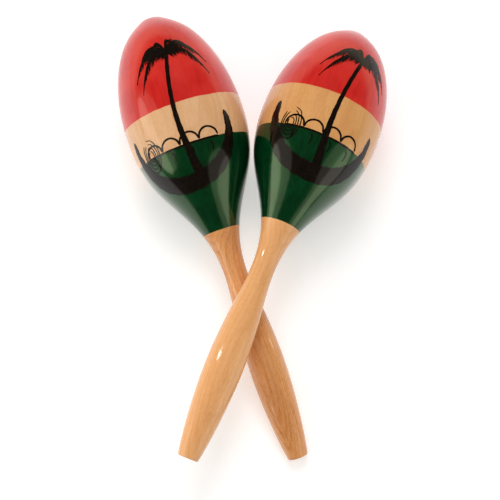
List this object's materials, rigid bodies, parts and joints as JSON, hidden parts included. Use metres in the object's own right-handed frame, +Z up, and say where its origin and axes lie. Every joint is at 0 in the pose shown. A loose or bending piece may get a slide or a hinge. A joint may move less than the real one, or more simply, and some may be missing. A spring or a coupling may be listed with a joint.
{
  "type": "pair of maracas",
  "caption": "Pair of turned wooden maracas laid crossed on a table: egg-shaped painted heads holding loose shot, on slim swelling handles.",
  "frame": {"origin": "on the table, under the middle of the footprint of the pair as it lies", "axes": "+Z up from the table, +Y from the handles towards the heads, +X towards the right-hand maraca's head"},
  "size_m": [0.1562, 0.2515, 0.0713],
  "materials": {
    "crown_paint": "red paint under clear gloss lacquer",
    "bowl_paint": "dark green paint with a bare band above it, under clear gloss lacquer",
    "grip_wood": "bare hardwood under clear gloss lacquer",
    "shot_steel": "dull ball finish"
  },
  "bodies": {
    "left_maraca": {"left_crown_shell": "crown_paint", "left_bowl_shell": "bowl_paint", "left_handle": "grip_wood"},
    "left_bed": {"left_bed_shot": "shot_steel"},
    "left_top": {"left_top_shot": "shot_steel"},
    "right_maraca": {"right_crown_shell": "crown_paint", "right_bowl_shell": "bowl_paint", "right_handle": "grip_wood"},
    "right_bed": {"right_bed_shot": "shot_steel"},
    "right_top": {"right_top_shot": "shot_steel"}
  },
  "joints": [
    {"name": "right_maraca_lift", "type": "slide", "parent": "left_maraca", "child": "right_maraca", "axis": [0, 0, 1], "range_m": [0, 0.12]},
    {"name": "left_shot_swirl", "type": "hinge", "parent": "left_maraca", "child": "left_bed", "pos_m": [0.02987, -0.12225, 0.00585], "axis": [-0.3415, 0.9282, 0.1477], "continuous": true},
    {"name": "left_shot_toss", "type": "slide", "parent": "left_bed", "child": "left_top", "axis": [0.051, -0.1386, 0.989], "range_m": [0, 0.045]},
    {"name": "right_shot_swirl", "type": "hinge", "parent": "right_maraca", "child": "right_bed", "pos_m": [-0.0302, -0.12398, 0.03627], "axis": [0.3453, 0.9385, -0.0072], "continuous": true},
    {"name": "right_shot_toss", "type": "slide", "parent": "right_bed", "child": "right_top", "axis": [0.0025, 0.0068, 1], "range_m": [0, 0.049]}
  ]
}
